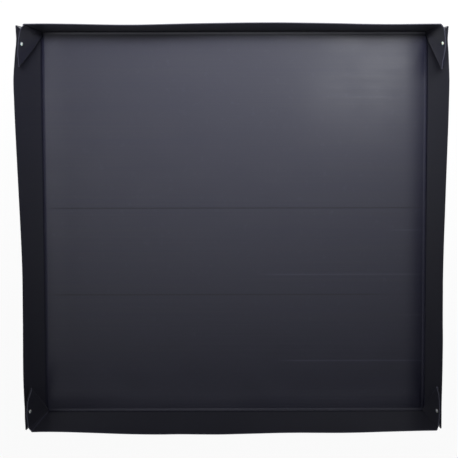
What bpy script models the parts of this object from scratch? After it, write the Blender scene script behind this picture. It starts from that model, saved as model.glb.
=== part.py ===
"""Folding grow tray: a square tray folded up from one creased sheet of black fluted plastic.

Units are metres, +Z is up, +X is right and +Y is towards the back wall. The origin is the centre
of the underside of the floor. The tray stands folded up: the corner webs are folded in two on
their diagonals and pinned flat against the inside of the two side walls.
"""

import math

import bmesh
import bpy
from mathutils import Matrix, Quaternion, Vector

# The blank: floor between its creases, walls, and the sheet it is cut from
FLOOR_WIDTH = 1.0
FLOOR_DEPTH = 1.0
WALL_HEIGHT = 0.1
SHEET = 0.002

# Folds: how far each panel's edge stays from its fold line, and how far a hairpin's nose tapers
FOLD_SETBACK = 0.0003
HAIRPIN_NOSE = 0.0012
WEB_TIP_CUT = 0.006
CORNER_GAP = 0.0005
WEB_EDGE_GAP = 0.0012
END_TRIM = 0.0050

# Lean of each side wall out from upright at its back and front corners, and of the end walls
LEFT_FLARE_BACK = math.radians(13.6)
LEFT_FLARE_FRONT = math.radians(7.4)
RIGHT_FLARE_BACK = math.radians(10.8)
RIGHT_FLARE_FRONT = math.radians(5.4)
END_FLARE = math.radians(0.0)

# Set of the sheet: how far each rim stands out from the straight line between its corners
LEFT_BOW = 0.0065
RIGHT_BOW = 0.0044
BACK_BOW = 0.0031
FRONT_BOW = 0.0072
SIDE_PLACE_SHARES = (0.0, 0.035, 0.07, 0.14, 0.22, 0.37, 0.57, 0.72, 0.84, 0.9, 0.945, 0.965, 1.0)
LEFT_BOW_SHARES = (0.0, 0.02, 0.05, 0.3, 0.15, -0.2, 0.2, 0.72, 1.0, 0.6, -0.1, -0.22, 0.0)
RIGHT_BOW_SHARES = (0.0, -0.15, -0.08, 0.0, -0.15, -0.6, 0.0, 0.6, 1.0, 0.6, -0.15, -0.3, 0.0)
BACK_PLACE_SHARES = (0.0, 0.1, 0.24, 0.38, 0.57, 0.78, 0.9, 1.0)
BACK_BOW_SHARES = (0.0, 0.0, -0.75, 0.0, 1.0, 0.1, -0.2, 0.0)
FRONT_PLACE_SHARES = (0.0, 0.08, 0.2, 0.32, 0.46, 0.65, 0.78, 0.9, 1.0)
FRONT_BOW_SHARES = (0.0, 0.0, 0.5, 0.9, 1.0, 0.55, 0.6, 0.15, 0.0)
SIDE_STATIONS = 80
END_STATIONS = 30
WEB_STEPS = 12

# Set of the corner webs: they hug the side wall a little, and close up at the pin
HUG_SHARE = 0.12
CLOSING_BEND_SHARE = 0.15

# Corner pins: a domed push pin from inside, and a flanged socket from outside
PIN_INSET = 0.045
PIN_DROP = 0.012
HEAD_DIAMETER = 0.0100
HEAD_HEIGHT = 0.0024
SHANK_DIAMETER = 0.0040
SHANK_TIP_DIAMETER = 0.0030
BARREL_DIAMETER = 0.0064
BORE_CLEARANCE = 0.0016
FLANGE_DIAMETER = 0.0120
FLANGE_THICKNESS = 0.0014
SEAT_GAP = 0.0003
HEAD_GAP = 0.0006
HOLE_CLEARANCE = 0.0010
WEB_HOLE_CLEARANCE = 0.0024
ROUND_STEPS = 32
DOME_STEPS = 6
MERGE_DISTANCE = 0.00001

SHEET_COLOUR = (0.010, 0.010, 0.013, 1.0)
PIN_COLOUR = (0.78, 0.78, 0.77, 1.0)


def clear_scene():
    for item in list(bpy.data.objects):
        bpy.data.objects.remove(item, do_unlink=True)


def new_collection(name):
    made = bpy.data.collections.new(name)
    bpy.context.scene.collection.children.link(made)
    return made


def plastic(name, colour, roughness):
    material = bpy.data.materials.new(name)
    material.use_nodes = True
    shader = material.node_tree.nodes["Principled BSDF"]
    shader.inputs["Base Color"].default_value = colour
    shader.inputs["Roughness"].default_value = roughness
    shader.inputs["Metallic"].default_value = 0.0
    material.diffuse_color = colour
    return material


def smooth_through(places, values, at):
    """Value at a place of the smooth curve through the given places and values."""
    last = len(places) - 1
    slopes = []
    for i in range(last + 1):
        before = max(i - 1, 0)
        after = min(i + 1, last)
        slopes.append((values[after] - values[before]) / (places[after] - places[before]))
    i = 0
    while i < last - 1 and at > places[i + 1]:
        i += 1
    span = places[i + 1] - places[i]
    t = (at - places[i]) / span
    start = values[i] * (1 + 2 * t) * (1 - t) ** 2 + slopes[i] * span * t * (1 - t) ** 2
    end = values[i + 1] * t * t * (3 - 2 * t) - slopes[i + 1] * span * t * t * (1 - t)
    return start + end


def web_angles(side_angle, end_angle):
    """Angles of a corner web folded between two walls.

    The walls stand at the given angles from flat. Returns the angle between side wall and web, and
    the angle between the two halves of the web on its diagonal. Both are a half turn when flat.
    """
    between = math.acos(math.sin(side_angle) * math.sin(end_angle))
    web_tilt = math.acos(min(1.0, math.tan(between / 2)))
    wall_tilt = math.acos(max(-1.0, -math.cos(end_angle) / math.sin(between)))
    diagonal = 2 * math.asin(min(1.0, math.sin(between / 2) / math.sin(math.pi / 4)))
    return wall_tilt - web_tilt, diagonal


def skin_loft(name, outer, inner, material, parts):
    """A panel lofted from its outer skin to its inner skin, each a grid of points."""
    rows = len(outer)
    columns = len(outer[0])
    made = bmesh.new()
    low = [[made.verts.new(point) for point in row] for row in outer]
    high = [[made.verts.new(point) for point in row] for row in inner]
    for i in range(rows - 1):
        for j in range(columns - 1):
            made.faces.new((low[i][j], low[i][j + 1], low[i + 1][j + 1], low[i + 1][j]))
            made.faces.new((high[i][j], high[i + 1][j], high[i + 1][j + 1], high[i][j + 1]))
    for j in range(columns - 1):
        made.faces.new((low[0][j], high[0][j], high[0][j + 1], low[0][j + 1]))
        made.faces.new((low[-1][j], low[-1][j + 1], high[-1][j + 1], high[-1][j]))
    for i in range(rows - 1):
        made.faces.new((low[i][0], low[i + 1][0], high[i + 1][0], high[i][0]))
        made.faces.new((low[i][-1], high[i][-1], high[i + 1][-1], low[i + 1][-1]))
    bmesh.ops.recalc_face_normals(made, faces=made.faces)
    mesh = bpy.data.meshes.new(name)
    made.to_mesh(mesh)
    made.free()
    panel = bpy.data.objects.new(name, mesh)
    mesh.materials.append(material)
    parts.objects.link(panel)
    return panel


def floor_panel(material, parts):
    """The floor, its four edges mitred so that the walls can stand up from its lower skin."""
    half_width = FLOOR_WIDTH / 2 - FOLD_SETBACK
    half_depth = FLOOR_DEPTH / 2 - FOLD_SETBACK
    signs = (-1, 1)
    outer = [[Vector((x * half_width, y * half_depth, 0)) for x in signs] for y in signs]
    inner = [
        [Vector((x * (half_width - SHEET), y * (half_depth - SHEET), SHEET)) for x in signs]
        for y in signs
    ]
    return skin_loft("floor_panel", outer, inner, material, parts)


def side_turn(side, share):
    """Lean of a side wall out from upright at a share of its length, from front to back."""
    if side < 0:
        front, back, bow, shares = LEFT_FLARE_FRONT, LEFT_FLARE_BACK, LEFT_BOW, LEFT_BOW_SHARES
    else:
        front, back, bow, shares = RIGHT_FLARE_FRONT, RIGHT_FLARE_BACK, RIGHT_BOW, RIGHT_BOW_SHARES
    out = bow * smooth_through(SIDE_PLACE_SHARES, shares, share)
    return front + (back - front) * share + out / WALL_HEIGHT


def end_turn(share, places, shares, bow):
    """Lean of an end wall out from upright at a share of its length, from left to right."""
    return END_FLARE + bow * smooth_through(places, shares, share) / WALL_HEIGHT


# Half length of a side wall: it ends just inside the inner skins of the end walls
SIDE_HALF = FLOOR_DEPTH / 2 - SHEET - CORNER_GAP
# Half length of an end wall: it stops where the folded webs meet it, so that they can swing past
END_HALF = FLOOR_WIDTH / 2 - FOLD_SETBACK - END_TRIM


def side_point(side, along, up, inward):
    """A point of a side wall in its own frame, whose Y axis is the floor crease.

    The wall's section at each place along the crease is turned by the lean there.
    """
    extra = side_turn(side, along / (2 * SIDE_HALF) + 0.5) - side_turn(side, 0.5)
    x = up * math.cos(extra) + inward * math.sin(extra)
    z = inward * math.cos(extra) - up * math.sin(extra)
    return Vector((side * x, along, z))


def side_wall(name, side, material, parts):
    bottom = FOLD_SETBACK
    ends_out = SIDE_HALF - FOLD_SETBACK - HAIRPIN_NOSE
    ends_in = SIDE_HALF - FOLD_SETBACK
    outer = []
    inner = []
    for i in range(SIDE_STATIONS + 1):
        share = 2 * i / SIDE_STATIONS - 1
        low = side_point(side, share * ends_out, bottom, 0)
        top = side_point(side, share * ends_out, WALL_HEIGHT, 0)
        outer.append([low, top])
        low = side_point(side, share * ends_in, bottom + SHEET, SHEET)
        top = side_point(side, share * ends_in, WALL_HEIGHT, SHEET)
        inner.append([low, top])
    wall = skin_loft(name, outer, inner, material, parts)
    wall.location = (side * FLOOR_WIDTH / 2, 0, 0)
    wall.rotation_euler = (0, side * (side_turn(side, 0.5) - math.pi / 2), 0)
    return wall


def end_wall(name, end, places, shares, bow, material, parts):
    outer = []
    inner = []
    for i in range(END_STATIONS + 1):
        share = i / END_STATIONS
        along = (2 * share - 1) * END_HALF
        extra = end_turn(share, places, shares, bow) - END_FLARE
        row_out = []
        row_in = []
        for up in (FOLD_SETBACK, WALL_HEIGHT):
            y = up * math.cos(extra)
            z = -up * math.sin(extra)
            row_out.append(Vector((along, end * y, z)))
        for up in (FOLD_SETBACK + SHEET, WALL_HEIGHT):
            y = up * math.cos(extra) + SHEET * math.sin(extra)
            z = SHEET * math.cos(extra) - up * math.sin(extra)
            row_in.append(Vector((along, end * y, z)))
        outer.append(row_out)
        inner.append(row_in)
    wall = skin_loft(name, outer, inner, material, parts)
    wall.location = (0, end * FLOOR_DEPTH / 2, 0)
    wall.rotation_euler = (end * (math.pi / 2 - END_FLARE), 0, 0)
    return wall


def closing(across):
    """Share of the gap between the halves of a web that stays open at a place across it.

    It falls straight from the end wall's edge to the pin, then stays closed to the diagonal.
    """
    pin_share = PIN_INSET / (WALL_HEIGHT - PIN_DROP)

    def opened(place):
        past = 1 - place / pin_share
        return (past + math.hypot(past, CLOSING_BEND_SHARE)) / 2

    return (opened(across) - opened(1) * across) / opened(0)


def web_half(name, side, end, steep, angles, material, parts):
    """Half of a corner web: a triangle between a fold or edge of the web and its diagonal fold.

    The half that joins the side wall has steep = False, and its fold with the wall lies along X.
    The other has steep = True, and its edge at the end wall lies along Y. Each is bent like part
    of a cone whose point is the corner of the tray, so that its folds stay straight.
    """
    at_wall, at_diagonal = angles
    hug = HUG_SHARE * WALL_HEIGHT * math.sin(at_wall)
    gap = WALL_HEIGHT * math.sin(at_diagonal) * math.sin(math.pi / 4)
    far_skins = (FOLD_SETBACK, FOLD_SETBACK + HAIRPIN_NOSE)
    if steep:
        near_skins = (WEB_EDGE_GAP, WEB_EDGE_GAP)
    else:
        near_skins = (FOLD_SETBACK + HAIRPIN_NOSE, FOLD_SETBACK)
    grids = ([], [])
    first = WEB_TIP_CUT / WALL_HEIGHT
    for i in range(WEB_STEPS + 1):
        out = first + (1 - first) * i / WEB_STEPS
        length = WALL_HEIGHT * out
        for skin in (0, 1):
            near = near_skins[skin]
            far = far_skins[skin] / math.sin(math.pi / 4)
            row = []
            for j in range(WEB_STEPS + 1):
                across = j / WEB_STEPS
                place = near + (length - near - far) * across
                bend = hug * 4 * across * (1 - across)
                if steep:
                    bend += gap * (1 - across - closing(across))
                    point = (side * place, end * length, skin * SHEET - bend * out)
                else:
                    point = (side * length, end * place, (skin - 1) * SHEET + bend * out)
                row.append(Vector(point))
            grids[skin].append(row)
    return skin_loft(name, grids[0], grids[1], material, parts)


def turned(name, profile, material, parts):
    """A turned piece: its profile runs from the axis, round the outside and back to the axis."""
    mesh = bpy.data.meshes.new(name)
    edges = [(i, i + 1) for i in range(len(profile) - 1)]
    mesh.from_pydata([(radius, 0, height) for radius, height in profile], edges, [])
    piece = bpy.data.objects.new(name, mesh)
    mesh.materials.append(material)
    parts.objects.link(piece)
    screw = piece.modifiers.new("turn", "SCREW")
    screw.axis = "Z"
    screw.steps = ROUND_STEPS
    screw.render_steps = ROUND_STEPS
    screw.use_merge_vertices = True
    screw.merge_threshold = MERGE_DISTANCE
    screw.use_smooth_shade = True
    return piece


def push_pin(name, grip, material, parts):
    """Pin with a domed head and a tapered shank that runs down -Z through the folded layers."""
    head = HEAD_DIAMETER / 2
    shank = SHANK_DIAMETER / 2
    tip = SHANK_TIP_DIAMETER / 2
    rim = HEAD_HEIGHT / 4
    profile = [(0, HEAD_HEIGHT)]
    for i in range(1, DOME_STEPS + 1):
        angle = math.pi / 2 * i / DOME_STEPS
        profile.append((head * math.sin(angle), rim + (HEAD_HEIGHT - rim) * math.cos(angle)))
    profile.append((head, 0))
    profile.append((shank, 0))
    profile.append((shank, -SHANK_DIAMETER / 2))
    profile.append((tip, -grip + tip / 2))
    profile.append((tip / 2, -grip))
    profile.append((0, -grip))
    return turned(name, profile, material, parts)


def pin_socket(name, grip, material, parts):
    """Socket with a flange at Z = 0 and a barrel that runs up +Z and takes the pin's shank."""
    flange = FLANGE_DIAMETER / 2
    barrel = BARREL_DIAMETER / 2
    bore = (SHANK_DIAMETER + BORE_CLEARANCE) / 2
    chamfer = FLANGE_THICKNESS / 3
    wall = barrel - bore
    profile = [(0, -FLANGE_THICKNESS / 2)]
    profile.append((bore, -FLANGE_THICKNESS / 2))
    profile.append((bore, grip))
    profile.append((barrel - wall / 3, grip))
    profile.append((barrel, grip - wall))
    profile.append((barrel, 0))
    profile.append((flange, 0))
    profile.append((flange, chamfer - FLANGE_THICKNESS))
    profile.append((flange - chamfer, -FLANGE_THICKNESS))
    profile.append((0, -FLANGE_THICKNESS))
    return turned(name, profile, material, parts)


def pin_place(side, end, wall):
    """Frame of a corner's pin in the world: its origin on the wall's outer skin, +Z inwards."""
    along = end * (SIDE_HALF - PIN_INSET)
    up = WALL_HEIGHT - PIN_DROP
    step = SHEET
    origin = side_point(side, along, up, 0)
    upward = side_point(side, along, up + step, 0) - origin
    onward = side_point(side, along + step, up, 0) - origin
    inward = (upward.cross(onward) * side).normalized()
    upward.normalize()
    across = upward.cross(inward)
    frame = Matrix((across, upward, inward)).transposed().to_4x4()
    frame.translation = origin
    return wall.matrix_world @ frame


def web_frames(side, end):
    """Placements of the halves of a web, on the side wall and on each other, with their angles."""
    lean = side_turn(side, 1.0 if end > 0 else 0.0)
    angles = web_angles(math.pi / 2 - lean, math.pi / 2 - END_FLARE)
    extra = lean - side_turn(side, 0.5)
    corner = side_point(side, end * SIDE_HALF, 0, SHEET)
    at_wall = Quaternion((1, 0, 0), end * (math.pi - angles[0]))
    first = Quaternion((0, 1, 0), side * extra) @ at_wall
    diagonal = Vector((side, end, 0)).normalized()
    second = Quaternion(diagonal, -side * end * (math.pi - angles[1]))
    return corner, first, second, angles


def height_at(panel, place):
    """Height on a pin's axis at which it leaves a panel on the inner side."""
    inverse = panel.matrix_world.inverted()
    start = inverse @ (place @ Vector((0, 0, WALL_HEIGHT)))
    toward = inverse.to_3x3() @ place.to_3x3() @ Vector((0, 0, -1))
    point = panel.ray_cast(start, toward)[1]
    return (place.inverted() @ panel.matrix_world @ point).z


def cylinder_cutter(name, diameter, length, place, cutters):
    made = bmesh.new()
    bmesh.ops.create_cone(
        made,
        cap_ends=True,
        cap_tris=False,
        segments=ROUND_STEPS,
        radius1=diameter / 2,
        radius2=diameter / 2,
        depth=length,
    )
    mesh = bpy.data.meshes.new(name)
    made.to_mesh(mesh)
    made.free()
    cutter = bpy.data.objects.new(name, mesh)
    cutters.objects.link(cutter)
    cutter.matrix_world = place
    cutter.hide_render = True
    cutter.display_type = "WIRE"
    return cutter


def cut(panel, cutter):
    boolean = panel.modifiers.new(cutter.name, "BOOLEAN")
    boolean.operation = "DIFFERENCE"
    boolean.solver = "EXACT"
    boolean.object = cutter


def corner(label, side, end, wall, sheet, nylon, parts, cutters):
    """A folded corner: both halves of the web, the pin and its socket."""
    at_corner, first, second, angles = web_frames(side, end)
    place = pin_place(side, end, wall)
    outer_half = web_half("outer_web_" + label, side, end, False, angles, sheet, parts)
    outer_half.parent = wall
    outer_half.location = at_corner
    outer_half.rotation_mode = "QUATERNION"
    outer_half.rotation_quaternion = first
    inner_half = web_half("inner_web_" + label, side, end, True, angles, sheet, parts)
    inner_half.parent = outer_half
    inner_half.location = (0, 0, -SHEET)
    inner_half.rotation_mode = "QUATERNION"
    inner_half.rotation_quaternion = second
    bpy.context.view_layer.update()
    grip = height_at(inner_half, place)
    web_hole = BARREL_DIAMETER + WEB_HOLE_CLEARANCE
    wall_hole = BARREL_DIAMETER + HOLE_CLEARANCE
    hole_length = 2 * (grip + SHEET)
    web_cutter = cylinder_cutter("hole_web_" + label, web_hole, hole_length, place, cutters)
    wall_cutter = cylinder_cutter("hole_wall_" + label, wall_hole, hole_length, place, cutters)
    cut(outer_half, web_cutter)
    cut(inner_half, web_cutter)
    cut(wall, wall_cutter)
    pin = push_pin("push_pin_" + label, grip, nylon, parts)
    pin.matrix_world = place @ Matrix.Translation((0, 0, grip + HEAD_GAP))
    socket = pin_socket("pin_socket_" + label, grip - SHEET, nylon, parts)
    socket.matrix_world = place @ Matrix.Translation((0, 0, -SEAT_GAP))


def main():
    clear_scene()
    parts = new_collection("folding_grow_tray")
    cutters = new_collection("cutters")
    sheet = plastic("fluted_sheet", SHEET_COLOUR, 0.34)
    nylon = plastic("pin_nylon", PIN_COLOUR, 0.3)
    floor_panel(sheet, parts)
    end_wall(
        "back_wall", 1, BACK_PLACE_SHARES, BACK_BOW_SHARES, BACK_BOW, sheet, parts
    )
    end_wall(
        "front_wall", -1, FRONT_PLACE_SHARES, FRONT_BOW_SHARES, FRONT_BOW, sheet, parts
    )
    for side, side_name in ((-1, "left"), (1, "right")):
        wall = side_wall(side_name + "_wall", side, sheet, parts)
        bpy.context.view_layer.update()
        for end, end_name in ((1, "back"), (-1, "front")):
            label = end_name + "_" + side_name
            corner(label, side, end, wall, sheet, nylon, parts, cutters)


if __name__ == "__main__":
    main()
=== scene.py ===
"""Folding grow tray, dressed for the render.

One square sheet of black fluted polypropylene, folded up into a tray: its corner webs are folded in
two on their diagonals and pinned flat against the inside of the side walls.

Units are metres, +Z is up, +X is the tray's right and +Y its back. The origin is the centre of the
underside of the floor. A panel is described in its own terms: a place along its crease, a height up
from the crease and a depth inward from its outer skin.
"""

import math
from functools import partial

import bmesh
import bpy
import numpy as np
from bpy.props import FloatProperty, PointerProperty, StringProperty
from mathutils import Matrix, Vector


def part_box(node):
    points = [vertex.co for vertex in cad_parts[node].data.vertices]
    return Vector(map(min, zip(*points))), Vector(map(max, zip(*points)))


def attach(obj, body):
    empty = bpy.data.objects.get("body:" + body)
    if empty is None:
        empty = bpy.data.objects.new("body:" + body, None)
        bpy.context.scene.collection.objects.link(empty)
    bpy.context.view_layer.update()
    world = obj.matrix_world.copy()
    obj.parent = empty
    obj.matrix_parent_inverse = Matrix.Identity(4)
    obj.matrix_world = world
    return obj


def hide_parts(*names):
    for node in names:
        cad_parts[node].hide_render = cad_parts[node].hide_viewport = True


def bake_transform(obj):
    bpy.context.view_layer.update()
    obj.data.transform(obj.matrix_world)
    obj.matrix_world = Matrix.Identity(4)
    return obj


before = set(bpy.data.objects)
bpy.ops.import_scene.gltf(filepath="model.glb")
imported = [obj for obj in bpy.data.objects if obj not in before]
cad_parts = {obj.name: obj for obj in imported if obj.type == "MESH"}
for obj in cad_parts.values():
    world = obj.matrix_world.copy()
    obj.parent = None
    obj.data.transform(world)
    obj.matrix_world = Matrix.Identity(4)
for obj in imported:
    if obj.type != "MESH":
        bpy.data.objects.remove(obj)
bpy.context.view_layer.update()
FLOOR_LOW, FLOOR_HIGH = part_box("floor_panel")

bl_info = {
    "name": "Folding grow tray",
    "version": (1, 0, 0),
    "blender": (4, 5, 0),
    "location": "3D View > Sidebar > Tray",
    "description": "Builds a folding grow tray of fluted sheet around its packed model",
    "category": "Add Mesh",
}

# Sockets of a colour mix node: its two colours, and its result
MIX_A, MIX_B, MIX_OUT = 6, 7, 2
# The middle of a noise pattern's range
MIDDLE = {"From Min": 0.3, "From Max": 0.7}

# Sizes of the finishes' patterns, in metres. Die lines: width across the flutes, and how many waves
# each has per metre along them. Then scuffs, handled areas, grain of a cut edge, and flow marks in
# the moulded pins.
DIE_LINES = ((0.0032, 1.2), (0.014, 0.7))
SCUFF = 0.02
HANDLED = 0.09
CUT_GRAIN = 0.0016
FLOW = 0.004
BUMP_DEPTH = 0.0001
# Refraction of polypropylene and of nylon
POLYPROPYLENE_IOR, NYLON_IOR = 1.49, 1.53
# A floor mark's half width at full strength and where it has faded out, how far its ends fade
# outside and inside their places, and what share is left of it past its far end
MARK_WIDTHS = (0.0004, 0.0030)
MARK_FADES = (0.01, 0.05)
MARK_END = 0.3

# Stations across the floor, and along a crease strip and round its arc
FLOOR_STATIONS, CREASE_STATIONS, ARC_STATIONS = 21, 241, 13
# Stations along an end wall, round half of a corner's fold, and round a quarter-round fold end
END_STATIONS, CORNER_STATIONS, NOSE_STATIONS = 111, 6, 5
# Stations along the rim of a web's outer and inner half, rows up the one, and flutes up the other
OUTER_STATIONS, INNER_STATIONS, OUTER_ROWS, INNER_FLUTES = 81, 61, 12, 30
# Places along a side wall's rim where its cut is given, and stations round a pin and round a bore
RIM_STATIONS, PIN_STATIONS, BORE_STATIONS = 320, 64, 40

# Points nearer than this become one, and edges sharper than these angles stay crisp
WELD = 2e-6
SHEET_CRISP, PIN_CRISP = math.radians(38), math.radians(40)

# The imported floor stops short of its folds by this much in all
FOLD_GAPS = 0.0006
# Least and greatest sag of a skin between two ribs, as shares of the usual one
SAG_SHARES = (0.4, 1.3)
# How unevenly a side wall's rim was cut
RIM_UNEVEN = 0.00006
# Seeds: the floor's sunk skins, the side walls' uneven rims, and the end walls' sunk skins
FLOOR_SEED, SIDE_SEED, END_SEED = 11, 21, 31
# A length in from a web's fold, to which a step along the web is scaled
FOLD_BLEND = 0.005
# How far a crease strip runs on inside the panels that it joins, and how far the end strips stop
# short of the side walls' folds
STRIP_LAP, STRIP_GAP = 0.0004, 0.0002
# How far in from the side crease a rounded corner's centre line starts
CORNER_FOOT = 0.0035
# Share of the height at which the webs start, clear of the floor's corner
WEB_FOOT = 0.02
# Where along a side wall its flutes start to fan in
FAN_START = 0.30
# Bores for the pins: through a side wall and through a web, and how long the cutter is
WALL_BORE, WEB_BORE, BORE_LENGTH = 0.0074, 0.0080, 0.06
# How far a pin's head stands off the web
PIN_GAP = 0.0001

# Brightness of the paper to the eye and in reflections
PAPER_GLOW = 0.94
# Half the paper's width, and its height, just under the tray
GROUND_HALF, GROUND_LEVEL = 15, -0.0002
# Soft panels: place, size, power, spread in degrees, and whether the tray mirrors it
PANELS = (
    ("soft_panel", (0.1, 0.95, 2.2), (1.6, 0.6), 17.0, 64.0, False),
    ("side_panel", (0.86, 0.72, 2.3), (0.40, 0.40), 2.6, 110.0, True),
)
PANEL_COLOUR = (0.96, 0.98, 1.0)
# Sky: how it grows towards the back, how it falls off with the square of the way aside from a
# place a little left of the middle, the heights between its low and its high part, what matt
# surfaces get of its high and its low part, and its colour
SKY_BACK = {"From Min": -0.50, "From Max": 0.04, "To Max": 2.25}
SKY_LEFT = 0.05
SKY_ASIDE = {"From Min": 0.02, "From Max": 0.20, "To Min": 1.0, "To Max": 0.60}
SKY_HIGH = {"From Min": 0.15, "From Max": 0.60}
SKY_MATT = (0.22, 0.12)
SKY_COLOUR = (0.91, 0.925, 1.0, 1.0)
# Camera: focal length and sensor width in millimetres, shift, place, and turn in degrees
CAMERA_LENS = (40.78, 36.0)
CAMERA_SHIFT = (-0.0502, -0.1727)
CAMERA_PLACE = (0.044871, 0.231633, 1.353166)
CAMERA_TURN = (-1.69, -0.01, -0.11)

# Lean of each wall out from upright, in degrees, at places along its crease in metres
LEFT_LEAN = (
    (-0.4975, 7.4), (-0.483, 7.6), (-0.463, 8.2), (-0.440, 8.2), (-0.418, 8.8), (-0.368, 9.6),
    (-0.319, 9.6), (-0.269, 9.3), (-0.220, 9.0), (-0.171, 8.85), (-0.121, 8.7), (-0.072, 9.1),
    (-0.023, 10.0), (0.025, 11.0), (0.074, 12.2), (0.123, 13.4), (0.171, 14.6), (0.220, 15.8),
    (0.268, 16.9), (0.316, 17.8), (0.365, 18.3), (0.413, 15.8), (0.432, 14.6), (0.451, 13.1),
    (0.465, 12.6), (0.480, 13.2), (0.4975, 13.6),
)
RIGHT_LEAN = (
    (-0.4975, 5.4), (-0.470, 5.3), (-0.440, 5.25), (-0.420, 5.35), (-0.370, 5.9), (-0.320, 6.2),
    (-0.271, 6.3), (-0.222, 5.85), (-0.172, 5.7), (-0.123, 5.65), (-0.074, 6.0), (-0.025, 6.6),
    (0.023, 7.4), (0.072, 8.2), (0.121, 9.0), (0.169, 9.85), (0.218, 10.75), (0.266, 11.6),
    (0.314, 12.15), (0.362, 12.5), (0.410, 11.3), (0.430, 10.7), (0.449, 9.7), (0.462, 9.3),
    (0.477, 9.9), (0.4975, 10.8),
)
BACK_LEAN = (
    (-0.497, -0.8), (-0.458, -0.55), (-0.415, -0.8), (-0.367, -1.3), (-0.319, -1.9),
    (-0.271, -2.3), (-0.223, -2.25), (-0.175, -1.7), (-0.127, -1.05), (-0.079, -0.5),
    (-0.031, -0.15), (0.017, 0.25), (0.065, 0.4), (0.113, 0.4), (0.161, 0.05), (0.209, -0.4),
    (0.257, -0.95), (0.305, -1.65), (0.353, -2.1), (0.401, -2.2), (0.449, -1.9), (0.497, -1.75),
)
FRONT_LEAN = (
    (-0.497, -1.1), (-0.472, -1.45), (-0.428, -1.3), (-0.379, -0.5), (-0.330, 0.5), (-0.281, 1.6),
    (-0.231, 2.35), (-0.182, 2.6), (-0.133, 2.3), (-0.084, 2.6), (-0.035, 2.75), (0.014, 2.1),
    (0.063, 1.4), (0.112, 0.7), (0.162, 0.45), (0.211, 0.65), (0.260, 0.75), (0.309, 0.35),
    (0.358, -0.5), (0.407, -1.25), (0.456, -1.95), (0.497, -2.3),
)
SIDES = {-1: ("left", LEFT_LEAN), 1: ("right", RIGHT_LEAN)}
ENDS = {1: ("back", BACK_LEAN), -1: ("front", FRONT_LEAN)}
CORNERS = [(side, end) for side in SIDES for end in ENDS]

# Rims of the folded corner webs, seen from above: millimetres along the side wall, and millimetres
# inward from that wall's outer rim to the middle of the sheet. The outer half of a web joins the
# side wall and is measured from that wall's own tip, which stands in from its foot by the tip's
# set. The inner half joins the end wall and is measured from the foot. Both run to the top of the
# diagonal fold. The reach is how far out the corner of the end wall's rim stands, and the last
# entry names the fold on which a paler colour is painted as its highlight.
WEB_RIMS = {
    "back_left": {
        "outer": (
            (0, 3.0), (3, 6.4), (6, 9.6), (9, 10.2), (18, 6.9), (30, 3.7), (42, 3.1), (66, 4.6),
            (82, 7.4), (96, 11.0),
        ),
        "inner": (
            (3, 20.5), (10, 13.4), (20, 9.3), (33, 6.1), (45, 5.3), (70, 7.0), (86, 9.9),
            (100, 13.1),
        ),
        "reach": 0.5052,
        "set": 0.0040,
        "highlit_fold": "",
    },
    "front_left": {
        "outer": (
            (0, 3.0), (5, 4.4), (18, 4.0), (38, 3.1), (60, 5.2), (78, 9.6), (92, 15.0), (101, 18.2),
        ),
        "inner": (
            (3, 14.4), (10, 8.6), (26, 6.8), (45, 5.3), (67, 7.8), (84, 12.0), (98, 17.6),
            (107.5, 20.3),
        ),
        "reach": 0.4993,
        "set": 0.0065,
        "highlit_fold": "corner",
    },
    "back_right": {
        "outer": (
            (0, 3.0), (3, 4.6), (22, 4.1), (44, 4.0), (66, 5.2), (80, 7.6), (91, 12.4),
            (99.5, 16.4),
        ),
        "inner": (
            (3, 17.4), (12, 11.2), (20, 8.8), (45, 5.4), (68, 9.6), (92, 15.4), (107.5, 18.5),
        ),
        "reach": 0.5020,
        "set": 0.0080,
        "highlit_fold": "",
    },
    "front_right": {
        "outer": (
            (0, 3.0), (6, 3.9), (14, 3.9), (38, 3.1), (66, 3.4), (82, 5.4), (92, 8.2),
            (101.5, 11.0),
        ),
        "inner": (
            (3, 11.4), (12, 8.6), (24, 6.8), (45, 5.3), (72, 5.7), (92, 8.2), (102, 10.9),
            (110, 13.1),
        ),
        "reach": 0.4998,
        "set": 0.0085,
        "highlit_fold": "diagonal",
    },
}

# Set of the floor's skin beside the side creases: the side, how far out in X it starts, and how
# much it rises per square metre from there. It stands up a little at the left and falls off at the
# right.
EDGE_SETS = ((-1.0, 0.43, 0.9), (1.0, 0.44, -0.95))

# Marks on the floor that run along its flutes: place in Y, where they start and end in X, and how
# far each is rubbed pale (above zero) or painted dark (below zero). The dark ones are painted
# shade: they stand in for the shade of slight valleys bent into the sheet along the flutes.
FLOOR_MARKS = (
    (0.0399, -0.492, 0.492, -0.55),
    (-0.1882, -0.492, 0.400, -0.7),
    (-0.0187, 0.400, 0.492, 0.45),
    (-0.1353, 0.060, 0.492, 0.40),
    (-0.2430, 0.430, 0.492, 0.40),
    (-0.3643, 0.110, 0.492, 0.75),
)

# Profiles of the pin and its socket, in millimetres. Each point is a share of the outer radius and
# what is added to it, then a share of the height on the pin's line and what is added to that.
# Between crown and shank comes the dome, given by the height of its foot and how far it rises.
PIN_CROWN = ((0, 0, 1, 2.5), (0, 0.8, 1, 2.55))
PIN_DOME = (0.7, 1.9)
PIN_SHANK = (
    (1, 0.05, 1, 0.5), (1, -0.1, 1, 0.1), (1, -0.4, 1, 0), (0, 2.0, 1, 0), (0, 2.0, 1, -2.0),
    (0, 1.5, 0, 0.8), (0, 0.7, 0, 0), (0, 0, 0, 0),
)
SOCKET = (
    (0, 0, 0, -0.9), (0, 2.4, 0, -0.9), (0, 2.7, 0, -1.1), (0, 2.9, 0, -1.4), (0, 3.2, 0, -1.5),
    (1, -0.7, 0, -1.3), (1, -0.2, 0, -1.0), (1, 0, 0, -0.6), (1, -0.1, 0, -0.1), (0, 3.2, 0, -0.1),
    (0, 3.2, 1, -0.8), (0, 2.9, 1, -0.3), (0, 2.7, 1, -0.3), (0, 2.6, 0, 0), (0, 0, 0, 0),
)


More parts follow.
